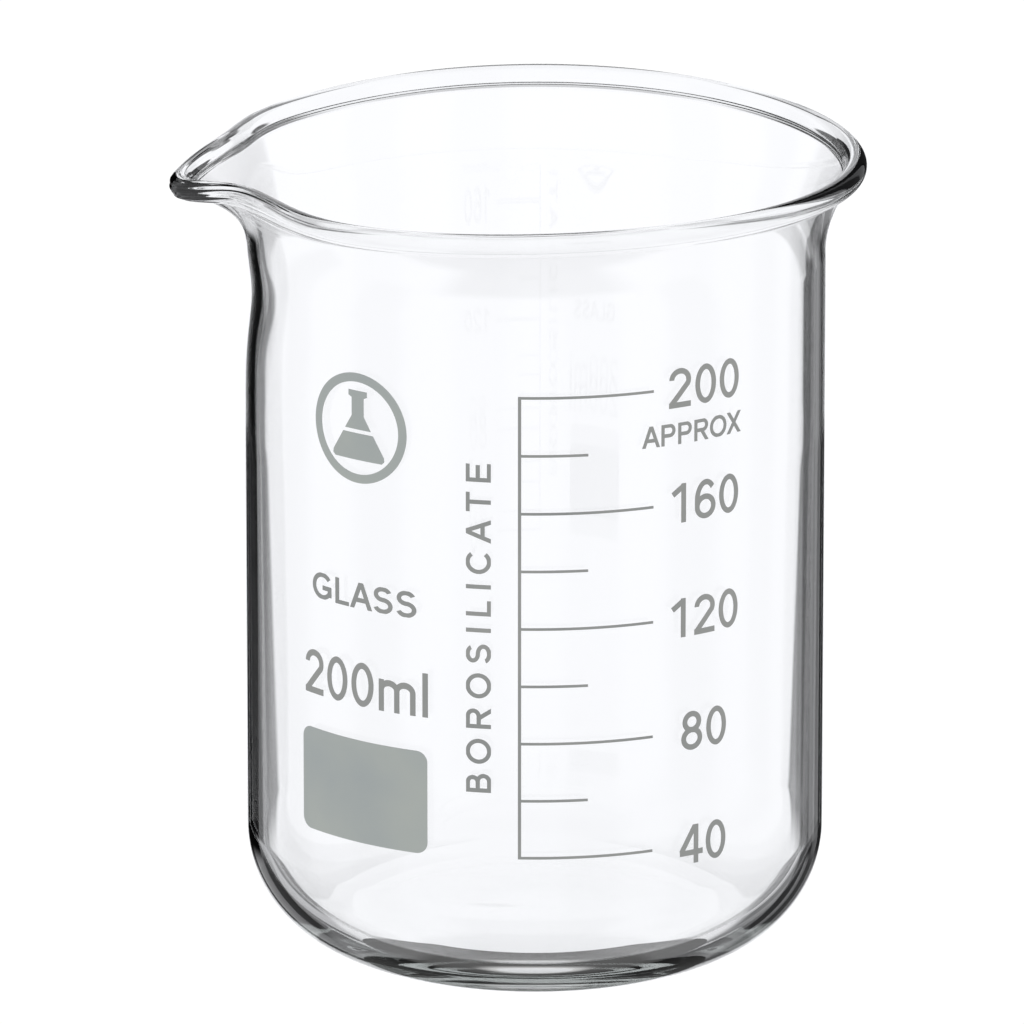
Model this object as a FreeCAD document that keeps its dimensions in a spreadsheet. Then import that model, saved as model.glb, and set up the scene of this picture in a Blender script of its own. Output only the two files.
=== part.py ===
"""Low-form glass beaker, 200 ml, with a pouring spout and a fired-on enamel scale.

Frame: millimetres, +Z up, origin at the centre of the flat base on the table plane.
The scale is read from the -Y side. The spout points to -X, turned a little toward -Y.
The vessel is one piece of glass. Each enamel mark is its own thin solid on the wall.
"""
import FreeCAD, Part
import math
import os

import Sketcher

V = FreeCAD.Vector
Z_AXIS = V(0, 0, 1)

os.makedirs("parts", exist_ok=True)
doc = FreeCAD.newDocument("beaker")

# ---------------------------------------------------------------- driving dimensions
DIMENSIONS = [
    ("wall_radius", 32.5),        # outside of the cylindrical wall
    ("wall_thick", 1.15),         # at the shoulder and above
    ("heel_thick", 1.6),          # the wall thickens downward to this at the top of the heel
    ("base_thick", 2.8),
    ("heel_outer", 13.5),         # rounding where the wall turns into the base
    ("heel_inner", 11.3),
    ("shoulder_z", 60.0),         # the turned lower vessel ends here, the formed mouth starts
    ("neck_z", 80.4),             # the wall starts to flare here
    ("rim_radius", 35.71),        # centre of the rim bead
    ("rim_z", 90.31),
    ("bead_radius", 1.26),
    ("bead_blend", 1.75),         # length over which the wall thickens into the bead
    ("rim_wave", 0.55),           # the rim sags a little on the spout line
    ("rim_twist", 0.14),
    ("rim_lean", 0.50),
    ("spout_turn", 0.7),          # degrees from -X toward -Y
    ("spout_reach", 4.5),
    ("near_width", 0.15),         # angular width of the lip toward -Y, radians
    ("far_width", 0.51),          # and toward +Y, where it runs out slowly
    ("spout_dip", 1.06),
    ("dip_width", 0.15),
    ("near_pinch", 2.32),         # the rim is drawn in on both sides of the lip
    ("near_angle", 0.405),
    ("near_spread", 0.344),
    ("far_pinch", 2.89),
    ("far_angle", 0.25),
    ("far_spread", 0.24),
    ("throat_depth", 0.7),        # the wall is drawn in under the lip
    ("throat_z", 75.5),
    ("throat_height", 5.5),
    ("throat_width", 0.40),
    ("film", 0.05),               # enamel thickness
    ("line_width", 0.30),
    ("spine_width", 0.36),
    ("spine_angle", -3.1),        # degrees round the wall from the reading side, + to the right
    ("major_end", 23.5),
    ("minor_end", 10.25),
    ("first_line", 19.5),         # height of the 40 ml line
    ("line_step", 6.63),          # height of 20 ml
    ("digit_height", 4.5),
    ("digit_angle", 35.15),
    ("approx_height", 2.45),
    ("approx_z", 66.1),
    ("approx_angle", 32.6),
    ("approx_length", 13.0),
    ("capacity_height", 5.1),
    ("capacity_z", 35.1),
    ("capacity_length", 17.8),
    ("label_angle", -37.0),       # centre line of the emblem and the patch
    ("text_angle", -36.4),        # and of the text between them
    ("class_height", 3.0),
    ("class_z", 46.4),
    ("class_length", 14.76),
    ("emblem_z", 67.2),
    ("emblem_radius", 6.3),
    ("emblem_stroke", 1.0),
    ("side_height", 2.8),
    ("side_angle", -11.15),
    ("side_z", 45.95),
    ("side_length", 38.4),
    ("patch_width", 17.3),
    ("patch_height", 11.9),
    ("patch_z", 25.15),
    ("patch_corner", 1.3),
]

sheet = doc.addObject("Spreadsheet::Sheet", "Dimensions")
for row, (name, value) in enumerate(DIMENSIONS, start=1):
    sheet.set("A%d" % row, name)
    sheet.set("B%d" % row, str(value))
    sheet.setAlias("B%d" % row, name)
doc.recompute()


def dim(name):
    return float(getattr(sheet, name))


# ---------------------------------------------------------------- helpers
def origin_plane(body, role):
    for feature in body.Origin.OriginFeatures:
        if feature.Role == role:
            return feature
    raise ValueError(role)


def new_sketch(body, name, role):
    sketch = body.newObject("Sketcher::SketchObject", name)
    sketch.AttachmentSupport = (origin_plane(body, role), [""])
    sketch.MapMode = "FlatFace"
    return sketch


def bind(sketch, constraint, label, formula):
    index = sketch.addConstraint(constraint)
    sketch.renameConstraint(index, label)
    sketch.setExpression("Constraints." + label, formula)


def chain(sketch, count):
    """Join the end of each line to the start of the next, all the way round."""
    for i in range(count):
        sketch.addConstraint(Sketcher.Constraint("Coincident", i, 2, (i + 1) % count, 1))


def revolve(body, sketch, angle_formula):
    turn = body.newObject("PartDesign::Revolution", "Revolution")
    turn.Profile = sketch
    turn.ReferenceAxis = (sketch, ["V_Axis"])
    turn.setExpression("Angle", angle_formula)
    body.Tip = turn
    return turn


# ---------------------------------------------------------------- lower vessel
def lower_vessel():
    """Base, rounded heel and straight wall, turned about the vertical axis."""
    body = doc.addObject("PartDesign::Body", "LowerVessel")
    sketch = new_sketch(body, "VesselProfile", "XZ_Plane")
    radius = dim("wall_radius")
    inner = radius - dim("wall_thick")
    heel = dim("heel_outer")
    hollow = dim("heel_inner")
    flat = radius - dim("heel_thick") - hollow
    floor = dim("base_thick")
    top = dim("shoulder_z")
    outer_arc = Part.Circle(V(radius - heel, heel, 0), Z_AXIS, heel)
    inner_arc = Part.Circle(V(flat, floor + hollow, 0), Z_AXIS, hollow)
    sketch.addGeometry(Part.LineSegment(V(0, 0, 0), V(radius - heel, 0, 0)))
    sketch.addGeometry(Part.ArcOfCircle(outer_arc, -math.pi / 2, 0))
    sketch.addGeometry(Part.LineSegment(V(radius, heel, 0), V(radius, top, 0)))
    sketch.addGeometry(Part.LineSegment(V(radius, top, 0), V(inner, top, 0)))
    sketch.addGeometry(Part.LineSegment(V(inner, top, 0), V(flat + hollow, floor + hollow, 0)))
    sketch.addGeometry(Part.ArcOfCircle(inner_arc, -math.pi / 2, 0))
    sketch.addGeometry(Part.LineSegment(V(flat, floor, 0), V(0, floor, 0)))
    sketch.addGeometry(Part.LineSegment(V(0, floor, 0), V(0, 0, 0)))
    join = [("Tangent", 0, 2, 1, 1), ("Tangent", 1, 2, 2, 1), ("Coincident", 2, 2, 3, 1),
            ("Coincident", 3, 2, 4, 1), ("Tangent", 4, 2, 5, 2), ("Tangent", 5, 1, 6, 1),
            ("Coincident", 6, 2, 7, 1), ("Coincident", 7, 2, 0, 1), ("Coincident", 0, 1, -1, 1),
            ("Horizontal", 0), ("Vertical", 2), ("Horizontal", 3), ("Horizontal", 6),
            ("Vertical", 7)]
    for item in join:
        sketch.addConstraint(Sketcher.Constraint(*item))
    sizes = Sketcher.Constraint
    bind(sketch, sizes("DistanceX", -1, 1, 2, 2, radius), "outer_radius", "Dimensions.wall_radius")
    bind(sketch, sizes("DistanceY", -1, 1, 2, 2, top), "top_height", "Dimensions.shoulder_z")
    bind(sketch, sizes("DistanceX", 3, 2, 3, 1, radius - inner), "thickness", "Dimensions.wall_thick")
    bind(sketch, sizes("DistanceY", 7, 2, 7, 1, floor), "floor_height", "Dimensions.base_thick")
    bind(sketch, sizes("Radius", 1, heel), "heel_radius", "Dimensions.heel_outer")
    bind(sketch, sizes("Radius", 5, hollow), "hollow_radius", "Dimensions.heel_inner")
    bind(sketch, sizes("DistanceX", -1, 1, 5, 3, flat), "flat_radius",
         "Dimensions.wall_radius - Dimensions.heel_thick - Dimensions.heel_inner")
    revolve(body, sketch, "360")
    return body


# ---------------------------------------------------------------- mouth with rim and spout
def bell(value, width):
    return math.exp(-(value / width) ** 2)


def two_sided(theta, name):
    """A lip dimension that changes smoothly from its far value to its near value."""
    far = dim("far_" + name)
    return far + (dim("near_" + name) - far) * (1 + math.tanh(theta / 0.07)) / 2


def mouth_curve(theta):
    """Middle line of the glass at one angle from the spout, as a function of s from 0 to 1."""
    away = math.hypot(theta, 0.05) - 0.05
    middle = dim("wall_radius") - dim("wall_thick") / 2
    rim = dim("rim_radius") + dim("spout_reach") * bell(away, two_sided(theta, "width"))
    rim -= two_sided(theta, "pinch") * bell(away - two_sided(theta, "angle"),
                                            two_sided(theta, "spread"))
    top = dim("rim_z") - dim("spout_dip") * bell(away, dim("dip_width"))
    top -= dim("rim_wave") * math.cos(2 * (theta - dim("rim_twist")))
    top -= dim("rim_lean") * math.cos(theta)
    power = 2 + 1.7 * bell(away, 0.3)
    start = dim("shoulder_z")
    neck = dim("neck_z")
    throat = dim("throat_depth") * bell(away, dim("throat_width"))

    def at(s):
        if s < 0.5:
            z = start + (neck - start) * s / 0.5
            flare = 0.0
        else:
            u = (s - 0.5) / 0.5
            z = neck + (top - neck) * u
            flare = (rim - middle) * u ** power
        rise = min(1.0, (z - start) / 6.0)
        rise = rise * rise * (3 - 2 * rise)
        dent = throat * rise * bell(z - dim("throat_z"), dim("throat_height"))
        return middle + flare - dent, z

    return at


def mouth_section(theta, steps=30, cap_steps=8):
    """Closed-over section of the glass: up the outside, round the bead, down the inside."""
    at = mouth_curve(theta)
    bead = dim("bead_radius")
    half = dim("wall_thick") / 2
    end_r, end_z = at(1.0)
    outside = []
    inside = []
    for k in range(steps + 1):
        s = 1 - (1 - k / steps) ** 1.5
        r, z = at(s)
        r_hi, z_hi = at(min(1.0, s + 1e-4))
        r_lo, z_lo = at(max(0.0, s - 1e-4))
        slope = math.hypot(r_hi - r_lo, z_hi - z_lo)
        tan_r = (r_hi - r_lo) / slope if k else 0.0
        tan_z = (z_hi - z_lo) / slope if k else 1.0
        swell = max(0.0, 1 - math.hypot(end_r - r, end_z - z) / dim("bead_blend"))
        swell = swell * swell * (3 - 2 * swell)
        reach = half + (bead - half) * swell
        outside.append((r + tan_z * reach, z - tan_r * reach))
        inside.append((r - tan_z * reach, z + tan_r * reach))
    cap = []
    for j in range(1, cap_steps):
        a = math.pi * j / cap_steps
        r = end_r + bead * (tan_z * math.cos(a) + tan_r * math.sin(a))
        z = end_z + bead * (tan_z * math.sin(a) - tan_r * math.cos(a))
        cap.append((r, z))
    return outside + cap + inside[::-1]


def relax(row, closed):
    """Poles of a uniform cubic spline that passes through the given points very nearly."""
    poles = []
    count = len(row)
    for i, point in enumerate(row):
        if not closed and i in (0, count - 1):
            poles.append(point)
            continue
        bend = row[(i - 1) % count] - point * 2 + row[(i + 1) % count]
        poles.append(point - bend * (1 / 6))
    return poles


def clamp(row):
    first = row[0] + (row[1] - row[0]) * (1 / 3)
    last = row[-1] + (row[-2] - row[-1]) * (1 / 3)
    return [row[0], first] + row[1:-1] + [last, row[-1]]


def mouth():
    """Formed upper wall, flare, beaded rim and spout, as one spline skin and a flat lower ring."""
    count = 120
    grid = []
    for i in range(count):
        theta = -math.pi + 2 * math.pi * i / count
        world = math.pi + math.radians(dim("spout_turn")) + theta
        section = [V(r * math.cos(world), r * math.sin(world), z) for r, z in mouth_section(theta)]
        grid.append(relax(section, False))
    length = len(grid[0])
    columns = [relax([row[j] for row in grid], True) for j in range(length)]
    poles = [clamp([column[i] for column in columns]) for i in range(count)]
    spans = length - 1
    skin = Part.BSplineSurface()
    skin.buildFromPolesMultsKnots(poles, [1] * (count + 1), [4] + [1] * (spans - 1) + [4],
                                  list(range(count + 1)), list(range(spans + 1)),
                                  True, False, 3, 3)
    face = skin.toShape()
    circles = sorted((e for e in face.Edges if e.isClosed()), key=lambda e: e.Length)
    ring = Part.makeFace([Part.Wire([circles[1]]), Part.Wire([circles[0]])],
                         "Part::FaceMakerBullseye")
    joined = Part.Compound([face, ring])
    joined.sewShape(0.001)
    solid = Part.Solid(joined if joined.ShapeType == "Shell" else joined.Shells[0])
    feature = doc.addObject("Part::Feature", "Mouth")
    feature.Shape = solid
    return feature


# ---------------------------------------------------------------- enamel lines
def enamel_line(label, z_formula, width_name, start_formula, end_formula):
    """A thin curved bar on the wall: a small rectangle turned part of the way round."""
    body = doc.addObject("PartDesign::Body", label)
    sketch = new_sketch(body, label + "_section", "XZ_Plane")
    r = dim("wall_radius")
    corners = [V(r, 1, 0), V(r + 1, 1, 0), V(r + 1, 2, 0), V(r, 2, 0)]
    for i in range(4):
        sketch.addGeometry(Part.LineSegment(corners[i], corners[(i + 1) % 4]))
    chain(sketch, 4)
    for side, kind in ((0, "Horizontal"), (1, "Vertical"), (2, "Horizontal"), (3, "Vertical")):
        sketch.addConstraint(Sketcher.Constraint(kind, side))
    sizes = Sketcher.Constraint
    bind(sketch, sizes("DistanceX", -1, 1, 0, 1, r), "radius", "Dimensions.wall_radius")
    bind(sketch, sizes("DistanceX", 0, 1, 0, 2, 1), "film", "Dimensions.film")
    bind(sketch, sizes("DistanceY", 1, 1, 1, 2, 1), "width", width_name)
    bind(sketch, sizes("DistanceY", -1, 1, 0, 1, 1), "height", z_formula)
    revolve(body, sketch, "%s - (%s)" % (end_formula, start_formula))
    body.Placement = FreeCAD.Placement(V(), FreeCAD.Rotation(Z_AXIS, -90))
    body.setExpression("Placement.Rotation.Angle", "%s - 90" % start_formula)
    body.Label = label
    return body


def scale_lines():
    half_spine = "Dimensions.spine_width / 2 / Dimensions.wall_radius * 180 / pi"
    left = "(Dimensions.spine_angle - %s)" % half_spine
    right = "(Dimensions.spine_angle + %s)" % half_spine
    lower = "Dimensions.first_line - Dimensions.line_width / 2"
    total = "8 * Dimensions.line_step + Dimensions.line_width"
    bars = [enamel_line("scale_spine", lower, total, left, right)]
    for i in range(9):
        end = "Dimensions.minor_end" if i % 2 else "Dimensions.major_end"
        height = "%s + %d * Dimensions.line_step" % (lower, i)
        label = "grad_%d" % (40 + 20 * i)
        bars.append(enamel_line(label, height, "Dimensions.line_width", right, end))
    return bars


# ---------------------------------------------------------------- lettering
# Plain sans-serif strokes on a cap height of 1: (advance, straight bars, arcs).
# A bar is (x0, y0, x1, y1). An arc is (centre x, centre y, radius x, radius y, from, to) in degrees.
DIGIT_STROKE = 0.14
TEXT_STROKE = 0.17
GLYPHS = {
    "0": (0.78, [], [(0.388, 0.5, 0.255, 0.43, 0, 360)]),
    "1": (0.78, [(0.50, 0, 0.50, 1), (0.18, 0.73, 0.49, 0.93)], []),
    "2": (0.78, [(0.61, 0.60, 0.13, 0.09), (0.06, 0.07, 0.70, 0.07)],
          [(0.385, 0.70, 0.25, 0.23, -33, 178)]),
    "4": (0.78, [(0.50, 0.98, 0.08, 0.31), (0.04, 0.285, 0.74, 0.285), (0.53, 0, 0.53, 1)], []),
    "6": (0.78, [(0.135, 0.29, 0.135, 0.52)],
          [(0.39, 0.315, 0.255, 0.245, 0, 360), (0.41, 0.50, 0.275, 0.43, 42, 182)]),
    "8": (0.78, [], [(0.388, 0.725, 0.215, 0.205, 0, 360), (0.388, 0.295, 0.25, 0.225, 0, 360)]),
    "A": (0.93, [(0.04, -0.1, 0.495, 1.1), (0.89, -0.1, 0.435, 1.1), (0.2, 0.33, 0.73, 0.33)], []),
    "B": (0.93, [(0.165, 0, 0.165, 1), (0.12, 0.93, 0.50, 0.93), (0.12, 0.53, 0.53, 0.53),
                 (0.12, 0.07, 0.53, 0.07)],
          [(0.50, 0.73, 0.20, 0.20, -90, 90), (0.53, 0.30, 0.235, 0.23, -90, 90)]),
    "C": (1.00, [], [(0.52, 0.5, 0.41, 0.43, 40, 320)]),
    "E": (0.93, [(0.175, 0, 0.175, 1), (0.12, 0.93, 0.82, 0.93), (0.12, 0.52, 0.78, 0.52),
                 (0.12, 0.07, 0.84, 0.07)], []),
    "G": (1.09, [(0.89, 0.12, 0.89, 0.50), (0.54, 0.44, 0.96, 0.44)],
          [(0.53, 0.5, 0.42, 0.43, 38, 322)]),
    "I": (0.39, [(0.195, 0, 0.195, 1)], []),
    "L": (0.78, [(0.17, 0, 0.17, 1), (0.12, 0.07, 0.71, 0.07)], []),
    "O": (1.09, [], [(0.543, 0.5, 0.43, 0.43, 0, 360)]),
    "P": (0.93, [(0.175, 0, 0.175, 1), (0.12, 0.93, 0.54, 0.93), (0.12, 0.47, 0.54, 0.47)],
          [(0.54, 0.70, 0.235, 0.23, -90, 90)]),
    "R": (1.00, [(0.175, 0, 0.175, 1), (0.12, 0.93, 0.58, 0.93), (0.12, 0.49, 0.58, 0.49),
                 (0.50, 0.50, 0.90, -0.1)],
          [(0.58, 0.71, 0.235, 0.22, -90, 90)]),
    "S": (0.93, [], [(0.46, 0.725, 0.28, 0.205, 22, 270), (0.46, 0.295, 0.31, 0.225, -160, 90)]),
    "T": (0.85, [(0.03, 0.93, 0.823, 0.93), (0.427, 0, 0.427, 1)], []),
    "X": (0.93, [(0.03, -0.1, 0.90, 1.1), (0.90, -0.1, 0.03, 1.1)], []),
    "l": (0.31, [(0.155, 0, 0.155, 1)], []),
    "m": (1.17, [(0.155, 0, 0.155, 0.725), (0.58, 0, 0.58, 0.50), (1.005, 0, 1.005, 0.50)],
          [(0.368, 0.49, 0.2125, 0.165, 0, 180), (0.7925, 0.49, 0.2125, 0.165, 0, 180)]),
}


def bar_face(x0, y0, x1, y1, width):
    length = math.hypot(x1 - x0, y1 - y0)
    nx = -(y1 - y0) / length * width / 2
    ny = (x1 - x0) / length * width / 2
    points = [V(x0 - nx, y0 - ny), V(x1 - nx, y1 - ny), V(x1 + nx, y1 + ny), V(x0 + nx, y0 + ny)]
    return Part.Face(Part.makePolygon(points + points[:1]))


def oval_arc(x, y, rx, ry, start, end):
    """An arc of an upright or flat ellipse, angles in degrees from +X."""
    if abs(rx - ry) < 1e-6:
        curve = Part.Circle(V(x, y, 0), Z_AXIS, rx)
        shift = 0
    elif rx > ry:
        curve = Part.Ellipse(V(x, y, 0), rx, ry)
        shift = 0
    else:
        curve = Part.Ellipse(V(x, y + ry, 0), V(x - rx, y, 0), V(x, y, 0))
        shift = 90
    return curve.toShape(math.radians(start - shift), math.radians(end - shift))


def arc_face(x, y, rx, ry, start, end, width):
    half = width / 2
    outer = oval_arc(x, y, rx + half, ry + half, start, end)
    inner = oval_arc(x, y, rx - half, ry - half, start, end)
    if end - start >= 360:
        return Part.Face(Part.Wire([outer])).cut(Part.Face(Part.Wire([inner]))).Faces[0]
    first = Part.makeLine(inner.Vertexes[0].Point, outer.Vertexes[0].Point)
    last = Part.makeLine(outer.Vertexes[-1].Point, inner.Vertexes[-1].Point)
    return Part.Face(Part.Wire(Part.__sortEdges__([outer, last, inner, first])))


def merged(faces):
    shape = faces[0]
    if len(faces) > 1:
        shape = shape.multiFuse(faces[1:]).removeSplitter()
    return shape


def glyph_face(letter, stroke):
    advance, bars, arcs = GLYPHS[letter]
    faces = [bar_face(*bar, stroke) for bar in bars]
    faces += [arc_face(*arc, stroke) for arc in arcs]
    frame = Part.makePlane(advance + 0.4, 1.0, V(-0.2, 0, 0))
    return merged(faces).common(frame)


def on_wall(face, angle, z, depth=1.0):
    """Stand a flat outline up against the wall at an angle and extrude it through the film."""
    radius = dim("wall_radius")
    shape = face.copy()
    shape.rotate(V(), V(1, 0, 0), 90)
    shape.translate(V(0, -(radius - depth + 0.5), z))
    shape = shape.extrude(V(0, -depth, 0))
    shape.rotate(V(), Z_AXIS, angle)
    return shape


def lettering(text, height, length, angle, z, stroke=TEXT_STROKE, upright=True):
    """Prisms of a line of text, fitted to a length. Upright text runs round the wall."""
    advances = [GLYPHS[letter][0] for letter in text]
    scale = length / (sum(advances) * height)
    gap = 0.0
    if not upright:
        gap = (length - sum(advances) * height) / (len(text) - 1)
        scale = 1.0
    cursor = -length / 2
    prisms = []
    for letter, advance in zip(text, advances):
        step = advance * height * scale
        matrix = FreeCAD.Matrix()
        matrix.scale(height * scale, height, 1)
        face = glyph_face(letter, stroke).transformGeometry(matrix)
        face.translate(V(-step / 2, 0, 0))
        centre = cursor + step / 2
        if upright:
            turn = math.degrees(centre / dim("wall_radius"))
            prisms.append(on_wall(face, angle + turn, z))
        else:
            face.translate(V(0, -height / 2, 0))
            face.rotate(V(), Z_AXIS, 90)
            prisms.append(on_wall(face, angle, z + centre))
        cursor += step + gap
    return prisms


def disc(radius):
    return Part.Face(Part.Wire([Part.makeCircle(radius)]))


def emblem():
    """Plain ring with a filled conical flask in it. A thin gap marks the liquid level."""
    radius = dim("emblem_radius")
    ring = disc(radius).cut(disc(radius - dim("emblem_stroke"))).Faces[0]
    right = [(0.20, 0.68), (0.20, 0.58), (0.13, 0.55), (0.13, 0.22), (0.55, -0.46), (0.56, -0.53),
             (0.51, -0.58)]
    outline = right + [(-x, y) for x, y in reversed(right)]
    points = [V(x * radius, y * radius) for x, y in outline]
    flask = Part.Face(Part.makePolygon(points + points[:1]))
    level = -0.06 * radius
    pieces = flask.cut(bar_face(-radius, level, radius, level, 0.07 * radius)).Faces
    return [on_wall(face, dim("label_angle"), dim("emblem_z"), 2.5) for face in [ring] + pieces]


def film_tube():
    """The thin tube of space that all enamel fills, just outside the wall."""
    outer = doc.addObject("Part::Cylinder", "FilmOutside")
    outer.setExpression("Radius", "Dimensions.wall_radius + Dimensions.film")
    inner = doc.addObject("Part::Cylinder", "FilmInside")
    inner.setExpression("Radius", "Dimensions.wall_radius")
    for cylinder in (outer, inner):
        cylinder.setExpression("Height", "Dimensions.neck_z")
    tube = doc.addObject("Part::Cut", "Film")
    tube.Base = outer
    tube.Tool = inner
    return tube


def enamel_mark(label, tube, prisms):
    outline = doc.addObject("Part::Feature", label + "_outline")
    outline.Shape = Part.Compound(prisms)
    return trimmed(label, tube, outline)


def trimmed(label, tube, outline):
    mark = doc.addObject("Part::Common", label)
    mark.Base = tube
    mark.Tool = outline
    mark.Label = label
    return mark


def patch_block():
    """Rounded rectangular block that cuts the writing patch out of the film."""
    body = doc.addObject("PartDesign::Body", "PatchBlock")
    sketch = new_sketch(body, "PatchOutline", "XZ_Plane")
    w = dim("patch_width") / 2
    h = dim("patch_height") / 2
    z = dim("patch_z")
    corners = [V(-w, z - h, 0), V(w, z - h, 0), V(w, z + h, 0), V(-w, z + h, 0)]
    for i in range(4):
        sketch.addGeometry(Part.LineSegment(corners[i], corners[(i + 1) % 4]))
    chain(sketch, 4)
    for side, kind in ((0, "Horizontal"), (1, "Vertical"), (2, "Horizontal"), (3, "Vertical")):
        sketch.addConstraint(Sketcher.Constraint(kind, side))
    sizes = Sketcher.Constraint
    bind(sketch, sizes("DistanceX", 0, 1, 0, 2, 2 * w), "width", "Dimensions.patch_width")
    bind(sketch, sizes("DistanceY", 1, 1, 1, 2, 2 * h), "height", "Dimensions.patch_height")
    bind(sketch, sizes("DistanceX", -1, 1, 0, 2, w), "side", "Dimensions.patch_width / 2")
    bind(sketch, sizes("DistanceY", -1, 1, 0, 1, z - h), "lower",
         "Dimensions.patch_z - Dimensions.patch_height / 2")
    pad = body.newObject("PartDesign::Pad", "PatchPad")
    pad.Profile = sketch
    pad.Length = 5.0
    doc.recompute()
    upright = [i for i, edge in enumerate(pad.Shape.Edges, start=1)
               if abs(edge.tangentAt(edge.FirstParameter).y) > 0.99]
    rounding = body.newObject("PartDesign::Fillet", "PatchCorners")
    rounding.Base = (pad, ["Edge%d" % i for i in upright])
    rounding.setExpression("Radius", "Dimensions.patch_corner")
    body.Tip = rounding
    doc.recompute()
    reach = -dim("wall_radius") - 1 - body.Shape.BoundBox.YMin
    spin = FreeCAD.Rotation(Z_AXIS, dim("label_angle"))
    body.Placement = FreeCAD.Placement(spin.multVec(V(0, reach, 0)), spin)
    return body


# ---------------------------------------------------------------- build
lower = lower_vessel()
upper = mouth()
vessel = doc.addObject("Part::Fuse", "glass_vessel")
vessel.Base = lower
vessel.Tool = upper
vessel.Label = "glass_vessel"
nodes = [vessel] + scale_lines()

tube = film_tube()
for i in range(5):
    volume = str(40 + 40 * i)
    height = dim("digit_height")
    z = dim("first_line") + 2 * i * dim("line_step") - height / 2
    length = 0.74 * height * len(volume)
    prisms = lettering(volume, height, length, dim("digit_angle"), z, DIGIT_STROKE)
    nodes.append(enamel_mark("num_" + volume, tube, prisms))
nodes.append(enamel_mark("approx_mark", tube, lettering(
    "APPROX", dim("approx_height"), dim("approx_length"), dim("approx_angle"), dim("approx_z"))))
nodes.append(enamel_mark("capacity_mark", tube, lettering(
    "200ml", dim("capacity_height"), dim("capacity_length"), dim("text_angle"),
    dim("capacity_z"), DIGIT_STROKE)))
nodes.append(enamel_mark("glass_class_mark", tube, lettering(
    "GLASS", dim("class_height"), dim("class_length"), dim("text_angle"), dim("class_z"))))
nodes.append(enamel_mark("side_text", tube, lettering(
    "BOROSILICATE", dim("side_height"), dim("side_length"), dim("side_angle"), dim("side_z"),
    upright=False)))
nodes.append(enamel_mark("emblem", tube, emblem()))
nodes.append(trimmed("marking_patch", tube, patch_block()))
doc.recompute()

# ---------------------------------------------------------------- checks and export
for item in doc.Objects:
    if "Invalid" in item.State or "Error" in item.State:
        raise RuntimeError("%s did not build: %s" % (item.Name, item.State))
for node in nodes:
    if node.Shape.isNull() or not node.Shape.isValid() or not node.Shape.Solids:
        raise RuntimeError("%s has no valid solid" % node.Label)
for node in nodes:
    node.Shape.exportStep("parts/%s.step" % node.Label)
    box = node.Shape.BoundBox
    print("%-18s solids %2d  volume %9.3f  z %6.2f..%6.2f  x %6.2f..%6.2f" % (
        node.Label, len(node.Shape.Solids), node.Shape.Volume,
        box.ZMin, box.ZMax, box.XMin, box.XMax))
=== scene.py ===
import math

import bpy
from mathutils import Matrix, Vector


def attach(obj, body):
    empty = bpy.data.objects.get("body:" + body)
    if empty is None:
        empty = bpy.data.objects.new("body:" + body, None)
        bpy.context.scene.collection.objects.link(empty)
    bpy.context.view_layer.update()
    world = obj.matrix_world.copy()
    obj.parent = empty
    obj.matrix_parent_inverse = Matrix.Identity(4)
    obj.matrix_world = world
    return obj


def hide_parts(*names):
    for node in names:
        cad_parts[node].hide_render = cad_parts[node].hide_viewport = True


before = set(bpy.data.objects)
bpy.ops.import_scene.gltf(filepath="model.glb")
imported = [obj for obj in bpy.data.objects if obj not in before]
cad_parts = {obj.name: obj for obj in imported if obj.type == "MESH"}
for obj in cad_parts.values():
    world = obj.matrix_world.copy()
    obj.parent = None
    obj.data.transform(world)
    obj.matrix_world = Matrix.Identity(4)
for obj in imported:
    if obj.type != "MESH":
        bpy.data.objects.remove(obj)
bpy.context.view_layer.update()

MM = 0.001

# ------------------------------------------------------------------ vessel sizes, millimetres
WALL_RADIUS = 32.48           # a hair inside the CAD wall, so that the enamel sits on top
WALL_THICK = 1.08
HEEL_THICK = 1.53             # the wall thickens downward to this at the top of the heel
FLOOR_Z = 2.8
HEEL_OUTER = 13.5
HEEL_INNER = 11.3
SHOULDER_Z = 60.0
NECK_Z = 80.4
RIM_RADIUS = 35.71
RIM_Z = 90.31
BEAD_RADIUS = 1.26
BEAD_BLEND = 1.75
RIM_WAVE = 0.55
RIM_TWIST = 0.14
RIM_LEAN = 0.50
SPOUT_TURN = 0.7
SPOUT_REACH = 4.5
SPOUT_DIP = 1.06
DIP_WIDTH = 0.15
SIDE_BLEND = 0.07             # how quickly the spout's far flank turns into its near flank
TIP_ROUND = 0.05              # rounds the tip where the two flanks meet
LIP_WIDTH = (0.51, 0.15)      # each pair: away from the reading side, toward it
PINCH_DEPTH = (2.89, 2.32)
PINCH_ANGLE = (0.25, 0.405)
PINCH_SPREAD = (0.24, 0.344)
FLARE_POWER = 2.0             # how late the neck turns outward, and how much later at the spout
SPOUT_POWER = 1.7
POWER_WIDTH = 0.3
THROAT_DEPTH = 0.7
THROAT_Z = 75.5
THROAT_HEIGHT = 5.5
THROAT_WIDTH = 0.40
THROAT_START = 6.0            # the throat fades in over this height above the shoulder
UNDERSIDE_RISE = 0.15         # the underside is very slightly hollow inside its standing ring
UNDERSIDE_FLAT = 6.0          # radius of the level middle of that hollow
STANDING_RING = 2.0           # width of the ring outside it that stands on the table
DIMPLE_DEPTH = 0.12           # and a little uneven near its middle
DIMPLE_PLACE = (-4.6, -1.0)
DIMPLE_SIZE = (6.4, 5.0)
DIMPLE_FADE = 0.6
DRAWN_DEPTH = 0.045           # fine lines left along the lip where the spout was drawn out
DRAWN_PITCH = 0.85
DRAWN_SECOND = (0.6, 0.62)    # a second set: its depth and pitch as shares of the first
DRAWN_MIDDLE = 0.15
DRAWN_SPREAD = 0.40
DRAWN_REACH = 2.8

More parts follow.
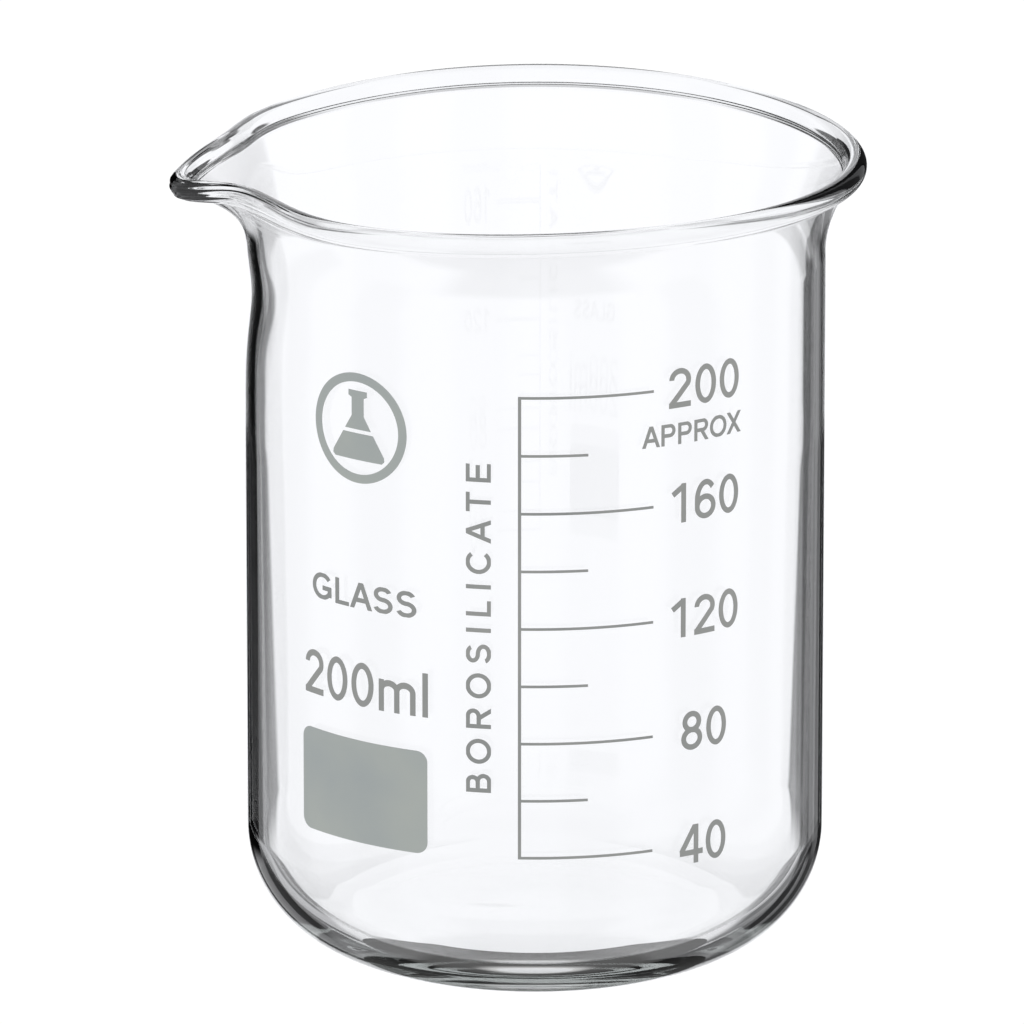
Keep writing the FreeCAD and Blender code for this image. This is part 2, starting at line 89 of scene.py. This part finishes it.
AROUND = 384                  # mesh columns round the axis
FLAT_STEPS = 23               # mesh rings over the base, round the heel and up the straight wall
HEEL_STEPS = 48
WALL_STEPS = 30


# ------------------------------------------------------------------ small helpers
def bell(value, width):
    return math.exp(-(value / width) ** 2)


def smooth(t):
    t = min(1.0, max(0.0, t))
    return t * t * (3 - 2 * t)


# ------------------------------------------------------------------ vessel mesh
def two_sided(theta, pair):
    far, near = pair
    return far + (near - far) * (1 + math.tanh(theta / SIDE_BLEND)) / 2


def mouth_line(theta):
    """Middle line of the upper wall at an angle from the spout, for s from 0 to 1."""
    away = math.hypot(theta, TIP_ROUND) - TIP_ROUND
    middle = WALL_RADIUS - WALL_THICK / 2
    rim = RIM_RADIUS + SPOUT_REACH * bell(away, two_sided(theta, LIP_WIDTH))
    pinch = bell(away - two_sided(theta, PINCH_ANGLE), two_sided(theta, PINCH_SPREAD))
    rim -= two_sided(theta, PINCH_DEPTH) * pinch
    top = RIM_Z - SPOUT_DIP * bell(away, DIP_WIDTH)
    top -= RIM_WAVE * math.cos(2 * (theta - RIM_TWIST)) + RIM_LEAN * math.cos(theta)
    power = FLARE_POWER + SPOUT_POWER * bell(away, POWER_WIDTH)
    throat = THROAT_DEPTH * bell(away, THROAT_WIDTH)

    def at(s):
        if s < 0.5:
            z = SHOULDER_Z + (NECK_Z - SHOULDER_Z) * s / 0.5
            flare = 0.0
        else:
            u = (s - 0.5) / 0.5
            z = NECK_Z + (top - NECK_Z) * u
            flare = (rim - middle) * u ** power
        fade_in = smooth((z - SHOULDER_Z) / THROAT_START)
        dent = throat * fade_in * bell(z - THROAT_Z, THROAT_HEIGHT)
        return middle + flare - dent, z

    return at


def drawn_lines(theta, arc):
    """Height of the drawn lines, arc being the distance round the bead from its very top."""
    depth, pitch = DRAWN_SECOND
    wave = math.sin(2 * math.pi * arc / DRAWN_PITCH)
    wave += depth * math.sin(2 * math.pi * arc / (pitch * DRAWN_PITCH) + 1.0)
    fade = bell(theta - DRAWN_MIDDLE, DRAWN_SPREAD) * bell(arc, DRAWN_REACH)
    return DRAWN_DEPTH * fade * wave


def mouth_profile(theta, steps=90, cap_steps=64):
    at = mouth_line(theta)
    half = WALL_THICK / 2
    end_r, end_z = at(1.0)
    outside = []
    inside = []
    for k in range(steps + 1):
        s = 1 - (1 - k / steps) ** 1.5
        r, z = at(s)
        r_hi, z_hi = at(min(1.0, s + 1e-4))
        r_lo, z_lo = at(max(0.0, s - 1e-4))
        slope = math.hypot(r_hi - r_lo, z_hi - z_lo)
        tan_r = (r_hi - r_lo) / slope if k else 0.0
        tan_z = (z_hi - z_lo) / slope if k else 1.0
        swell = smooth(1 - math.hypot(end_r - r, end_z - z) / BEAD_BLEND)
        reach = half + (BEAD_RADIUS - half) * swell
        arc = BEAD_RADIUS * math.pi / 2 + math.hypot(end_r - r, end_z - z)
        below = reach + drawn_lines(theta, -arc)
        above = reach + drawn_lines(theta, arc)
        outside.append((r + tan_z * below, z - tan_r * below))
        inside.append((r - tan_z * above, z + tan_r * above))
    cap = []
    for j in range(1, cap_steps):
        a = math.pi * j / cap_steps
        reach = BEAD_RADIUS + drawn_lines(theta, BEAD_RADIUS * (a - math.pi / 2))
        cap.append((end_r + reach * (tan_z * math.cos(a) + tan_r * math.sin(a)),
                    end_z + reach * (tan_z * math.sin(a) - tan_r * math.cos(a))))
    return outside, cap, inside[::-1]


def lower_profile():
    """Outside and inside of the turned part, from the axis up to the shoulder."""
    outer = []
    inner = []
    flat = WALL_RADIUS - HEEL_OUTER
    slope = flat - UNDERSIDE_FLAT - STANDING_RING
    for k in range(1, FLAT_STEPS + 1):
        r = flat * k / FLAT_STEPS
        outer.append((r, UNDERSIDE_RISE * (1 - smooth((r - UNDERSIDE_FLAT) / slope))))
    for k in range(1, HEEL_STEPS + 1):
        a = math.pi / 2 * k / HEEL_STEPS
        outer.append((flat + HEEL_OUTER * math.sin(a), HEEL_OUTER * (1 - math.cos(a))))
    for k in range(1, WALL_STEPS):
        outer.append((WALL_RADIUS, HEEL_OUTER + (SHOULDER_Z - HEEL_OUTER) * k / WALL_STEPS))
    hollow = WALL_RADIUS - HEEL_THICK - HEEL_INNER
    for k in range(1, FLAT_STEPS + 1):
        inner.append((hollow * k / FLAT_STEPS, FLOOR_Z))
    for k in range(1, HEEL_STEPS + 1):
        a = math.pi / 2 * k / HEEL_STEPS
        inner.append((hollow + HEEL_INNER * math.sin(a), FLOOR_Z + HEEL_INNER * (1 - math.cos(a))))
    top = FLOOR_Z + HEEL_INNER
    for k in range(1, WALL_STEPS):
        thick = HEEL_THICK + (WALL_THICK - HEEL_THICK) * k / WALL_STEPS
        inner.append((WALL_RADIUS - thick, top + (SHOULDER_Z - top) * k / WALL_STEPS))
    return outer, inner


def dimple(x, y):
    away = math.hypot((x - DIMPLE_PLACE[0]) / DIMPLE_SIZE[0], (y - DIMPLE_PLACE[1]) / DIMPLE_SIZE[1])
    return DIMPLE_DEPTH * bell(away, DIMPLE_FADE)


def build_vessel():
    lower_out, lower_in = lower_profile()
    columns = []
    for i in range(AROUND):
        theta = -math.pi + 2 * math.pi * i / AROUND
        world = math.pi + math.radians(SPOUT_TURN) + theta
        outside, cap, inside = mouth_profile(theta)
        line = lower_out + outside + cap + inside + lower_in[::-1]
        cos_w = math.cos(world)
        sin_w = math.sin(world)
        column = []
        for r, z in line:
            x = r * cos_w
            y = r * sin_w
            if z < 1.0:
                z += dimple(x, y)
            column.append((x * MM, y * MM, z * MM))
        columns.append(column)
    rows = len(columns[0])
    verts = [point for column in columns for point in column]
    verts.append((0, 0, (UNDERSIDE_RISE + dimple(0, 0)) * MM))
    verts.append((0, 0, FLOOR_Z * MM))
    under = len(verts) - 2
    floor = len(verts) - 1
    faces = []
    for i in range(AROUND):
        a = i * rows
        b = ((i + 1) % AROUND) * rows
        faces.append((under, b, a))
        faces.append((floor, a + rows - 1, b + rows - 1))
        for j in range(rows - 1):
            faces.append((a + j, b + j, b + j + 1, a + j + 1))
    mesh = bpy.data.meshes.new("vessel_glass")
    mesh.from_pydata(verts, [], faces)
    mesh.validate()
    mesh.shade_smooth()
    piece = bpy.data.objects.new("vessel_glass", mesh)
    bpy.context.scene.collection.objects.link(piece)
    return piece


# ------------------------------------------------------------------ materials
def new_material(name):
    material = bpy.data.materials.new(name)
    material.use_nodes = True
    tree = material.node_tree
    shader = tree.nodes["Principled BSDF"]
    return material, tree, shader


def glass_material():
    material, tree, shader = new_material("borosilicate_glass")
    shader.inputs["Base Color"].default_value = (1, 1, 1, 1)
    shader.inputs["Roughness"].default_value = 0.0
    shader.inputs["IOR"].default_value = 1.473
    shader.inputs["Transmission Weight"].default_value = 1.0
    volume = tree.nodes.new("ShaderNodeVolumeAbsorption")
    volume.inputs["Color"].default_value = (0.705, 0.722, 0.713, 1)
    volume.inputs["Density"].default_value = 50.0
    tree.links.new(volume.outputs["Volume"], tree.nodes["Material Output"].inputs["Volume"])
    return material


def enamel_material(name, dark, light):
    """Matt fired enamel, a little cloudy, with fine grain. The two colours are its extremes."""
    material, tree, shader = new_material(name)
    coords = tree.nodes.new("ShaderNodeTexCoord")
    cloud = tree.nodes.new("ShaderNodeTexNoise")
    cloud.inputs["Scale"].default_value = 90.0
    cloud.inputs["Detail"].default_value = 3.0
    ramp = tree.nodes.new("ShaderNodeValToRGB")
    ramp.color_ramp.elements[0].position = 0.3
    ramp.color_ramp.elements[0].color = (*dark, 1)
    ramp.color_ramp.elements[1].position = 0.7
    ramp.color_ramp.elements[1].color = (*light, 1)
    tree.links.new(coords.outputs["Object"], cloud.inputs["Vector"])
    tree.links.new(cloud.outputs["Fac"], ramp.inputs["Fac"])
    tree.links.new(ramp.outputs["Color"], shader.inputs["Base Color"])
    grain = tree.nodes.new("ShaderNodeTexNoise")
    grain.inputs["Scale"].default_value = 5000.0
    bump = tree.nodes.new("ShaderNodeBump")
    bump.inputs["Strength"].default_value = 0.25
    bump.inputs["Distance"].default_value = 0.00003
    tree.links.new(coords.outputs["Object"], grain.inputs["Vector"])
    tree.links.new(grain.outputs["Fac"], bump.inputs["Height"])
    tree.links.new(bump.outputs["Normal"], shader.inputs["Normal"])
    shader.inputs["Roughness"].default_value = 0.55
    shader.inputs["IOR"].default_value = 1.45
    return material


# ------------------------------------------------------------------ build
glass = glass_material()
broad_enamel = enamel_material("fired_enamel", (0.315, 0.345, 0.345), (0.365, 0.390, 0.365))
fine_enamel = enamel_material("fired_enamel_lines", (0.235, 0.245, 0.240), (0.285, 0.290, 0.280))

vessel = build_vessel()
vessel.data.materials.append(glass)
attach(vessel, "root")
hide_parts("glass_vessel")

for name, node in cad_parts.items():
    if name == "glass_vessel":
        continue
    broad = name in ("marking_patch", "emblem")
    node.data.materials.clear()
    node.data.materials.append(broad_enamel if broad else fine_enamel)


# ------------------------------------------------------------------ studio
# Soft panels round the vessel, as compass bearings in degrees clockwise from +Y seen from above:
# bearing of the middle, half width, width of the soft edge, how bright. Between them it is white.
SIDE_PANELS = [(-112.0, 7.0, 9.0, 0.78), (-68.0, 5.0, 8.0, 0.74),
               (112.0, 7.0, 9.0, 0.78), (157.0, 7.0, 9.0, 0.78)]
PANELS = SIDE_PANELS + [(-38.5, 3.5, 6.5, 0.42), (-21.5, 11.5, 1.3, 0.005),
                        (15.2, 6.0, 0.8, 0.03), (26.3, 5.0, 1.8, 0.30), (38.5, 6.0, 3.0, 0.08)]
# The same for light that comes up from below the table edge, seen in the heel.
LOW_PANELS = SIDE_PANELS + [(-40.0, 5.0, 2.5, 0.18), (-27.0, 6.0, 1.5, 0.65),
                            (-16.5, 2.3, 1.2, 0.12), (16.5, 3.2, 1.2, 0.25),
                            (26.0, 4.5, 1.5, 0.12), (33.0, 1.0, 1.5, 0.50),
                            (41.0, 3.5, 2.5, 0.15)]
# Heights in degrees above the horizon, each a soft step from the first to the second.
TABLE_EDGE = (-23.0, -19.5)   # LOW_PANELS below, PANELS above
OPEN_BELOW = (-47.0, -39.0)   # no panels under this
OPEN_ABOVE = (42.0, 62.0)     # and none over this
STRAIGHT_DOWN = (-69.0, -63.5)
DOWN_LEVEL = 0.08
CEILING = (58.0, 70.0)
CEILING_LEVEL = 0.65
LOW_FRONT = (-47.0, -42.0)    # dark low down on the reading side,
FRONT_BEARINGS = (125.0, 150.0)   # beyond these bearings either way
FRONT_LEVEL = 0.06
LIGHT_TINT = (1.015, 1.022, 1.050, 1)   # the light in the glass is a little cool
SHADOW_CARD_HOLE = 6.5               # painted contact shadow: a glowing grey ring under the table, seen in the glass in place of the shaded table below the vessel; in millimetres
SHADOW_CARD_RADIUS = 34.0
SHADOW_CARD_DROP = 30.0
SHADOW_CARD_FADE = (6.0, 11.5)       # the painted shadow darkens outward between these radii
# brightness of the painted shadow at those two radii
SHADOW_CARD_LEVELS = (0.85, 0.13)
SHADOW_CARD_SIDES = 96
FLOOR_HALF = 4.0
FLOOR_DROP = 0.0004
CAMERA_TARGET = Vector((-0.002586, 0.0, 0.04964))
CAMERA_DISTANCE = 1.5
CAMERA_RISE = 16.94           # degrees above the horizon
CAMERA_LENS = 469.6
ROOM_WHITE = 1.04             # the floor and backdrop are just over white


def math_node(tree, operation, a, b=None):
    node = tree.nodes.new("ShaderNodeMath")
    node.operation = operation
    for socket, value in zip(node.inputs, (a, b)):
        if isinstance(value, (int, float)):
            socket.default_value = value
        elif value is not None:
            tree.links.new(value, socket)
    return node.outputs[0]


def ramp_up(tree, value, low, high, start=0.0, end=1.0):
    node = tree.nodes.new("ShaderNodeMapRange")
    node.interpolation_type = "SMOOTHSTEP"
    node.inputs["From Min"].default_value = low
    node.inputs["From Max"].default_value = high
    node.inputs["To Min"].default_value = start
    node.inputs["To Max"].default_value = end
    tree.links.new(value, node.inputs["Value"])
    return node.outputs["Result"]


def panel_light(tree, bearing, panels):
    light = 1.0
    for middle, half, edge, level in panels:
        away = math_node(tree, "ABSOLUTE", math_node(tree, "SUBTRACT", bearing, middle))
        panel = ramp_up(tree, away, half, half + edge, level, 1.0)
        light = math_node(tree, "MULTIPLY", light, panel)
    return light


def studio_world():
    """White room with soft dark panels, seen only through and on the glass."""
    world = bpy.data.worlds.new("studio")
    bpy.context.scene.world = world
    world.use_nodes = True
    tree = world.node_tree
    background = tree.nodes["Background"]
    coords = tree.nodes.new("ShaderNodeTexCoord")
    split = tree.nodes.new("ShaderNodeSeparateXYZ")
    tree.links.new(coords.outputs["Generated"], split.inputs[0])
    x, y, z = split.outputs
    bearing = math_node(tree, "DEGREES", math_node(tree, "ARCTAN2", x, y))
    height = math_node(tree, "DEGREES", math_node(tree, "ARCSINE", z))
    level = tree.nodes.new("ShaderNodeMix")
    tree.links.new(ramp_up(tree, height, *TABLE_EDGE), level.inputs["Factor"])
    tree.links.new(panel_light(tree, bearing, LOW_PANELS), level.inputs["A"])
    tree.links.new(panel_light(tree, bearing, PANELS), level.inputs["B"])
    light = level.outputs["Result"]
    under = ramp_up(tree, height, *OPEN_BELOW, 1.0, 0.0)
    over = ramp_up(tree, height, *OPEN_ABOVE)
    open_room = math_node(tree, "MAXIMUM", under, over)
    light = math_node(tree, "MAXIMUM", light, open_room)
    down = ramp_up(tree, height, *STRAIGHT_DOWN, DOWN_LEVEL, 1.0)
    light = math_node(tree, "MULTIPLY", light, down)
    turned = math_node(tree, "ABSOLUTE", bearing)
    low_front = math_node(tree, "MAXIMUM", ramp_up(tree, turned, *FRONT_BEARINGS, 1.0, 0.0),
                          ramp_up(tree, height, *LOW_FRONT, FRONT_LEVEL, 1.0))
    light = math_node(tree, "MULTIPLY", light, low_front)
    ceiling = ramp_up(tree, height, *CEILING, 1.0, CEILING_LEVEL)
    light = math_node(tree, "MULTIPLY", light, ceiling)
    path = tree.nodes.new("ShaderNodeLightPath")
    plain = math_node(tree, "MAXIMUM", path.outputs["Is Camera Ray"], path.outputs["Is Diffuse Ray"])
    tint = tree.nodes.new("ShaderNodeMix")
    tint.data_type = "RGBA"
    tint.inputs["A"].default_value = LIGHT_TINT
    tint.inputs["B"].default_value = (ROOM_WHITE, ROOM_WHITE, ROOM_WHITE, 1)
    tree.links.new(plain, tint.inputs["Factor"])
    tree.links.new(tint.outputs["Result"], background.inputs["Color"])
    tree.links.new(math_node(tree, "MAXIMUM", light, plain), background.inputs["Strength"])


def glow_material(name, strength):
    """A surface that only gives light. Strength is a number or a function of the node tree."""
    material = bpy.data.materials.new(name)
    material.use_nodes = True
    tree = material.node_tree
    tree.nodes.remove(tree.nodes["Principled BSDF"])
    glow = tree.nodes.new("ShaderNodeEmission")
    if callable(strength):
        tree.links.new(strength(tree), glow.inputs["Strength"])
    else:
        glow.inputs["Strength"].default_value = strength
    tree.links.new(glow.outputs[0], tree.nodes["Material Output"].inputs["Surface"])
    return material


def stage_object(name, verts, faces, material):
    mesh = bpy.data.meshes.new(name)
    mesh.from_pydata(verts, [], faces)
    mesh.materials.append(material)
    obj = bpy.data.objects.new(name, mesh)
    bpy.context.scene.collection.objects.link(obj)
    obj.visible_diffuse = False
    obj.visible_shadow = False
    return obj


def pale_floor():
    corners = ((-1, -1), (1, -1), (1, 1), (-1, 1))
    verts = [(x * FLOOR_HALF, y * FLOOR_HALF, -FLOOR_DROP) for x, y in corners]
    floor = stage_object("floor", verts, [(0, 1, 2, 3)], glow_material("white_floor", ROOM_WHITE))
    floor.visible_transmission = False
    floor.visible_glossy = False


def painted_shadow_brightness(tree):
    """Brightness of the painted shadow below the vessel, by distance from the axis: lighter at its
    hole.
    """
    coords = tree.nodes.new("ShaderNodeTexCoord")
    length = tree.nodes.new("ShaderNodeVectorMath")
    length.operation = "LENGTH"
    tree.links.new(coords.outputs["Object"], length.inputs[0])
    near, far = SHADOW_CARD_FADE
    return ramp_up(tree, length.outputs["Value"], near * MM, far * MM, *SHADOW_CARD_LEVELS)


def painted_shadow_card():
    """Painted contact shadow: a glowing grey ring below the table, in place of the shaded table
    under the vessel, seen only through the glass and on it.
    """
    count = SHADOW_CARD_SIDES
    turn = 2 * math.pi / count
    verts = [(radius * MM * math.cos(i * turn), radius * MM * math.sin(i * turn), 0)
             for radius in (SHADOW_CARD_HOLE, SHADOW_CARD_RADIUS) for i in range(count)]
    faces = [(i, (i + 1) % count, count + (i + 1) % count, count + i) for i in range(count)]
    # the ring glows grey to paint the shade under the vessel into the heel and base, for glossy and
    # refracted rays only
    shadow_card = stage_object("painted_shadow_card", verts, faces, glow_material("painted_contact_shadow", painted_shadow_brightness))
    shadow_card.location.z = -SHADOW_CARD_DROP * MM
    shadow_card.visible_camera = False


def studio_camera():
    scene = bpy.context.scene
    camera = bpy.data.cameras.new("camera")
    camera.lens = CAMERA_LENS
    camera.sensor_width = 36.0
    camera.clip_start = 0.05
    camera.clip_end = 20.0
    eye = bpy.data.objects.new("camera", camera)
    scene.collection.objects.link(eye)
    rise = math.radians(CAMERA_RISE)
    eye.location = CAMERA_TARGET + CAMERA_DISTANCE * Vector((0, -math.cos(rise), math.sin(rise)))
    eye.rotation_euler = (CAMERA_TARGET - eye.location).to_track_quat("-Z", "Y").to_euler()
    scene.camera = eye


studio_world()
pale_floor()
painted_shadow_card()
studio_camera()

scene = bpy.context.scene
scene.view_settings.view_transform = "Standard"
scene.view_settings.look = "None"
scene.cycles.max_bounces = 40
scene.cycles.transmission_bounces = 40
scene.cycles.glossy_bounces = 16
scene.cycles.caustics_reflective = True
scene.cycles.caustics_refractive = True
